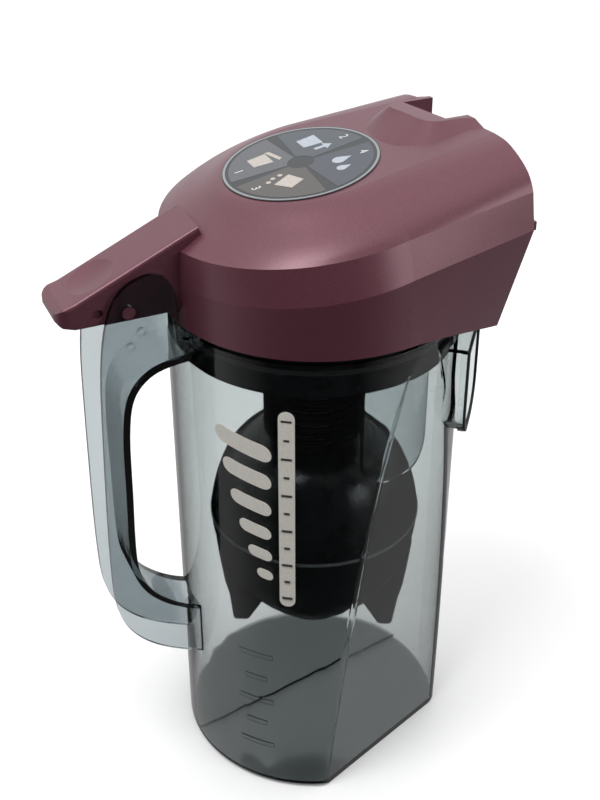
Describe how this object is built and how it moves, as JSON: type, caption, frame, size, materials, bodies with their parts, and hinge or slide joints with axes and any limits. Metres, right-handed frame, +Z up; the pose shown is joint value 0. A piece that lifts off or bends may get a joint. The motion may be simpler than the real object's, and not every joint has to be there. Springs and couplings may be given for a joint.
{
  "type": "cyclone dust bin",
  "caption": "Clear smoke-grey jug with channel handle, black cyclone separator hung in its mouth and a plum hinged lid with thumb tongue, filter and rear outlet.",
  "frame": {"origin": "on the jug's axis, in the plane of its flat base", "axes": "+Z up along the jug's axis, -X towards the handle, +X towards the rear outlet"},
  "size_m": [0.174, 0.126, 0.2906],
  "materials": {
    "smoke_plastic": "clear smoke-grey moulded plastic",
    "plum_plastic": "plum pearl moulded plastic with a fine satin gloss",
    "black_plastic": "black moulded plastic",
    "black_rubber": "soft black rubber",
    "grey_rubber": "soft grey rubber",
    "steel_mesh": "fine woven steel mesh",
    "zinc_steel": "zinc-plated steel",
    "foam": "open-cell grey foam",
    "filter_paper": "white pleated filter paper",
    "label_film": "printed dark film"
  },
  "bodies": {
    "jug": {"jug_body": "smoke_plastic", "inlet_seal": "black_rubber", "inlet_deflector": "smoke_plastic", "separator_collar": "black_plastic", "collar_gasket": "black_rubber", "separator_grille": "black_plastic", "grille_mesh": "steel_mesh", "separator_bell": "black_plastic", "seam_ring": "grey_rubber", "separator_cup": "black_plastic", "separator_screws": "zinc_steel"},
    "lid": {"lid_shell": "plum_plastic", "lid_base": "black_plastic", "lid_seal": "black_rubber", "lid_screws": "zinc_steel", "filter_frame": "black_plastic", "foam_filter": "foam", "pleated_filter": "filter_paper", "outlet_duct": "black_plastic", "outlet_seal": "black_rubber", "lid_label": "label_film"}
  },
  "joints": [
    {"name": "lid_hinge", "type": "hinge", "parent": "jug", "child": "lid", "pos_m": [-0.0817, 0, 0.2366], "axis": [0, -1, 0], "range_deg": [0, 80]}
  ]
}
